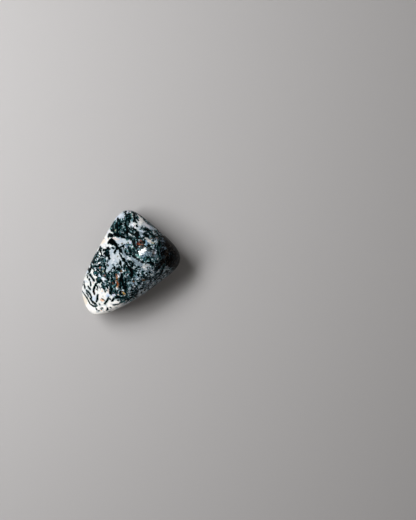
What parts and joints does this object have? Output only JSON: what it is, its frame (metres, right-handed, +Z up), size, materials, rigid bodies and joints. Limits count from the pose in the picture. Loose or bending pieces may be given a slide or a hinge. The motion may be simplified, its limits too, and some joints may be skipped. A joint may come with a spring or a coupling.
{
  "type": "tumbled tree agate",
  "caption": "Tumbled tree agate: a polished rounded chip of white stone with mossy dark green dendrites, to rest in the hand or on a surface.",
  "frame": {"origin": "middle of the stone's bounding box in plan, on the flat of the underside that it rests on", "axes": "+Z up; +Y towards the stone's narrow top corner, along its longest side to side measure; +X towards its right corner"},
  "size_m": [0.0318, 0.0338, 0.0172],
  "materials": {
    "agate": "tumble-polished chalcedony: creamy white and clear grey ground, crossed by blackish green mossy dendrites with small rust-orange spots"
  },
  "bodies": {
    "root": {"stone": "agate"}
  },
  "joints": []
}
